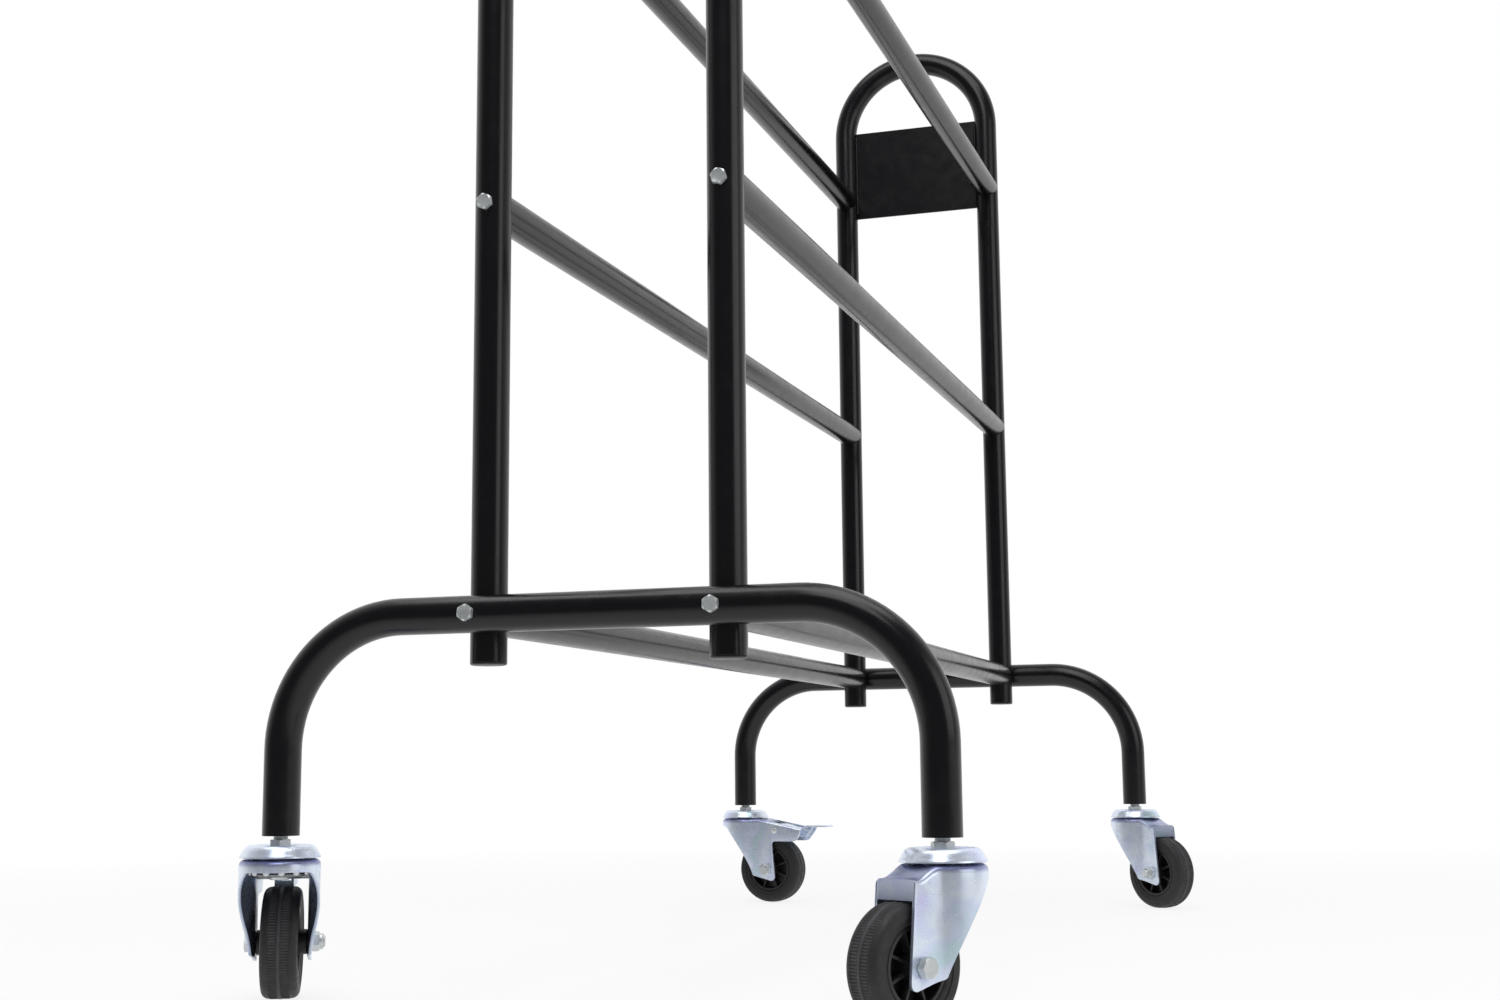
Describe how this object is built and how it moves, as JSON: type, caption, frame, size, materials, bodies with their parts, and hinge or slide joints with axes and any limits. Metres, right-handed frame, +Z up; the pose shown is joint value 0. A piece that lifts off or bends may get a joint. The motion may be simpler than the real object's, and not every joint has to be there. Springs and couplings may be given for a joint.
{
  "type": "ball cart",
  "caption": "Rolling ball cart of bent black steel tube: arched end frames joined by tiers of paired rails, on swivel casters, with foot brakes along one side.",
  "frame": {"origin": "on the floor, under the middle of the cart's bounding box", "axes": "+Z up, +X along the rails from the near end frame to the far one, +Y towards the brake side"},
  "size_m": [1.1166, 0.5758, 1.0012],
  "materials": {
    "black_coat": "gloss powder coat",
    "zinc": "bright zinc plate",
    "tyre": "moulded black rubber",
    "black_plastic": "moulded plastic"
  },
  "bodies": {
    "frame": {"end_hoop_near": "black_coat", "foot_tube_near": "black_coat", "frame_bolt_near_right_tier1": "zinc", "frame_bolt_near_left_tier1": "zinc", "frame_bolt_near_right_tier2": "zinc", "frame_bolt_near_left_tier2": "zinc", "frame_bolt_near_right_tier3": "zinc", "frame_bolt_near_left_tier3": "zinc", "end_plug_near_right": "black_plastic", "end_plug_near_left": "black_plastic", "end_hoop_far": "black_coat", "foot_tube_far": "black_coat", "frame_bolt_far_left_tier1": "zinc", "frame_bolt_far_right_tier1": "zinc", "frame_bolt_far_left_tier2": "zinc", "frame_bolt_far_right_tier2": "zinc", "frame_bolt_far_left_tier3": "zinc", "frame_bolt_far_right_tier3": "zinc", "end_plug_far_left": "black_plastic", "end_plug_far_right": "black_plastic", "rail_tier1_left": "black_coat", "rail_tier1_right": "black_coat", "rail_tier2_left": "black_coat", "rail_tier2_right": "black_coat", "rail_tier3_left": "black_coat", "rail_tier3_right": "black_coat", "caster_stem_near_left": "zinc", "swivel_cap_near_left": "zinc", "ball_race_near_left": "zinc", "caster_stem_near_right": "zinc", "swivel_cap_near_right": "zinc", "ball_race_near_right": "zinc", "caster_stem_far_left": "zinc", "swivel_cap_far_left": "zinc", "ball_race_far_left": "zinc", "caster_stem_far_right": "zinc", "swivel_cap_far_right": "zinc", "ball_race_far_right": "zinc"},
    "swivel_near_left": {"caster_fork_near_left": "zinc", "axle_bolt_near_left": "zinc", "axle_nut_near_left": "zinc"},
    "wheel_near_left": {"tyre_near_left": "tyre", "wheel_hub_near_left": "black_plastic"},
    "pedal_near_left": {"brake_pedal_near_left": "zinc"},
    "swivel_near_right": {"caster_fork_near_right": "zinc", "axle_bolt_near_right": "zinc", "axle_nut_near_right": "zinc"},
    "wheel_near_right": {"tyre_near_right": "tyre", "wheel_hub_near_right": "black_plastic"},
    "swivel_far_left": {"caster_fork_far_left": "zinc", "axle_bolt_far_left": "zinc", "axle_nut_far_left": "zinc"},
    "wheel_far_left": {"tyre_far_left": "tyre", "wheel_hub_far_left": "black_plastic"},
    "pedal_far_left": {"brake_pedal_far_left": "zinc"},
    "swivel_far_right": {"caster_fork_far_right": "zinc", "axle_bolt_far_right": "zinc", "axle_nut_far_right": "zinc"},
    "wheel_far_right": {"tyre_far_right": "tyre", "wheel_hub_far_right": "black_plastic"}
  },
  "joints": [
    {"name": "swivel_turn_near_left", "type": "hinge", "parent": "frame", "child": "swivel_near_left", "pos_m": [-0.49073, 0.23015, 0.09767], "axis": [0, 0, 1], "continuous": true},
    {"name": "wheel_spin_near_left", "type": "hinge", "parent": "swivel_near_left", "child": "wheel_near_left", "pos_m": [-0.45919, 0.24622, 0.03768], "axis": [-0.454, 0.891, 0], "continuous": true},
    {"name": "pedal_press_near_left", "type": "hinge", "parent": "swivel_near_left", "child": "pedal_near_left", "pos_m": [-0.44975, 0.25103, 0.08167], "axis": [-0.454, 0.891, 0], "range_deg": [0, 10]},
    {"name": "swivel_turn_near_right", "type": "hinge", "parent": "frame", "child": "swivel_near_right", "pos_m": [-0.49073, -0.22385, 0.09767], "axis": [0, 0, 1], "continuous": true},
    {"name": "wheel_spin_near_right", "type": "hinge", "parent": "swivel_near_right", "child": "wheel_near_right", "pos_m": [-0.52108, -0.20562, 0.03768], "axis": [-0.515, -0.8572, 0], "continuous": true},
    {"name": "swivel_turn_far_left", "type": "hinge", "parent": "frame", "child": "swivel_far_left", "pos_m": [0.53127, 0.23015, 0.09767], "axis": [0, 0, 1], "continuous": true},
    {"name": "wheel_spin_far_left", "type": "hinge", "parent": "swivel_far_left", "child": "wheel_far_left", "pos_m": [0.52603, 0.19514, 0.03768], "axis": [0.989, -0.1478, 0], "continuous": true},
    {"name": "pedal_press_far_left", "type": "hinge", "parent": "swivel_far_left", "child": "pedal_far_left", "pos_m": [0.52447, 0.18465, 0.08167], "axis": [0.989, -0.1478, 0], "range_deg": [0, 10]},
    {"name": "swivel_turn_far_right", "type": "hinge", "parent": "frame", "child": "swivel_far_right", "pos_m": [0.53127, -0.22385, 0.09767], "axis": [0, 0, 1], "continuous": true},
    {"name": "wheel_spin_far_right", "type": "hinge", "parent": "swivel_far_right", "child": "wheel_far_right", "pos_m": [0.50996, -0.25212, 0.03768], "axis": [0.7986, -0.6018, 0], "continuous": true}
  ]
}
